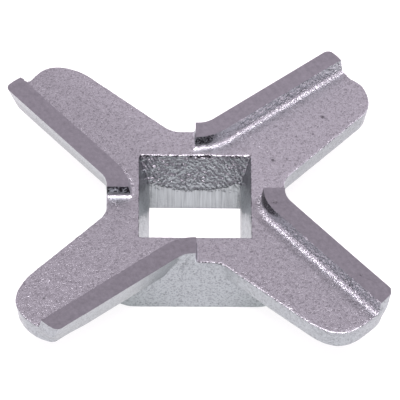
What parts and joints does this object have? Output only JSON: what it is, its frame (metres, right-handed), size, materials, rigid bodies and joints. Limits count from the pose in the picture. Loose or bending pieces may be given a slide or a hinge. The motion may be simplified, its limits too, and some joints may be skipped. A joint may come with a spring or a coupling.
{
  "type": "meat grinder knife",
  "caption": "Cross-shaped meat grinder knife with raised ground cutting lands along undercut leading edges and a square hub broached for the feed screw's drive.",
  "frame": {"origin": "on the axis of the square drive hole, in the plane of the hub's lower face", "axes": "+Z along the drive hole's axis, from the hub's lower face up towards the cutting lands; X and Y square to the hub's sides"},
  "size_m": [0.0414, 0.0414, 0.0088],
  "materials": {
    "knife_steel": "bright plated casting, as-cast skin with ground lands"
  },
  "bodies": {
    "root": {"knife": "knife_steel"}
  },
  "joints": []
}
